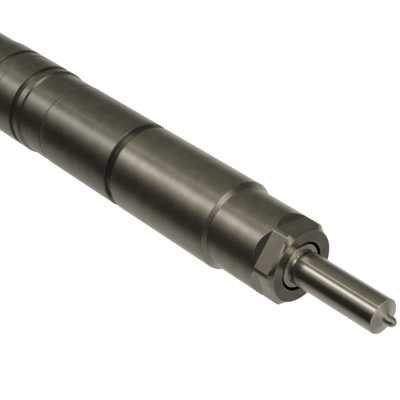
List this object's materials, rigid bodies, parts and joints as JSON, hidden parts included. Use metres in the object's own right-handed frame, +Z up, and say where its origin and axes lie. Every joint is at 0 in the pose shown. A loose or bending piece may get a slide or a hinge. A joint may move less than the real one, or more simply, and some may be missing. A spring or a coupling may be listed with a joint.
{
  "type": "fuel injector",
  "caption": "Slim common-rail diesel injector: long stepped steel body, nozzle nut with six flats, needle nozzle, side inlet, solenoid valve and moulded plug socket.",
  "frame": {"origin": "centre of the nozzle nut's end face, where the sealing washer sits in the cylinder head", "axes": "+X along the injector's axis out through the nozzle, +Z up along the fuel inlet, the plug socket faces -Y"},
  "size_m": [0.2173, 0.0397, 0.0507],
  "materials": {
    "bright_steel": "ground bright, fine rings round the axis",
    "nut_steel": "dark satin, phosphated and oiled, faint brown heat tint near the neck",
    "body_steel": "dark satin, phosphated and oiled",
    "inner_steel": "ground",
    "spring_steel": "oiled wire",
    "shim_steel": "lapped",
    "fitting_steel": "zinc plated, clear passivated",
    "cap_nut_steel": "dark phosphated",
    "soft_iron": "pressed iron powder, dull",
    "copper_wire": "enamelled winding",
    "tinned_bronze": "tinned",
    "ball_ceramic": "polished",
    "cap_plastic": "glass-filled nylon, fine moulded grain",
    "bobbin_plastic": "natural nylon",
    "seal_plastic": "filled sealing plastic",
    "seal_rubber": "moulded rubber"
  },
  "bodies": {
    "housing": {"nozzle_body": "bright_steel", "nozzle_dowels": "inner_steel", "nozzle_nut": "nut_steel", "injector_body": "body_steel", "nozzle_spring": "spring_steel", "spring_shim": "shim_steel", "inlet_connector": "fitting_steel", "edge_filter": "inner_steel", "valve_body": "inner_steel", "valve_seal_ring": "seal_plastic", "armature_guide": "inner_steel", "valve_clamp_nut": "nut_steel", "overtravel_spring": "spring_steel", "lift_shim": "shim_steel", "magnet_core": "soft_iron", "coil_bobbin": "bobbin_plastic", "solenoid_coil": "copper_wire", "solenoid_shell": "fitting_steel", "solenoid_o_ring": "seal_rubber", "valve_spring": "spring_steel", "force_shim": "shim_steel", "solenoid_nut": "cap_nut_steel", "connector_cap": "cap_plastic", "terminal_pins": "tinned_bronze", "return_spigot": "fitting_steel"},
    "needle": {"nozzle_needle": "inner_steel", "pressure_pin": "inner_steel", "control_piston": "inner_steel"},
    "armature": {"armature_pin": "inner_steel", "armature_lock_ring": "spring_steel", "ball_guide": "inner_steel", "valve_ball": "ball_ceramic"},
    "plate": {"armature_plate": "soft_iron"}
  },
  "joints": [
    {"name": "needle_lift", "type": "slide", "parent": "housing", "child": "needle", "axis": [-1, 0, 0], "range_m": [0, 0.00025], "stiffness_N_per_m": 2000, "springref_m": -0.002, "deforming": ["nozzle_spring"]},
    {"name": "armature_lift", "type": "slide", "parent": "housing", "child": "armature", "axis": [-1, 0, 0], "range_m": [0, 0.00006], "stiffness_N_per_m": 500, "springref_m": -0.001, "deforming": ["valve_spring"]},
    {"name": "plate_overtravel", "type": "slide", "parent": "armature", "child": "plate", "axis": [1, 0, 0], "range_m": [0, 0.00004], "stiffness_N_per_m": 200, "springref_m": -0.001, "deforming": ["overtravel_spring"]}
  ]
}
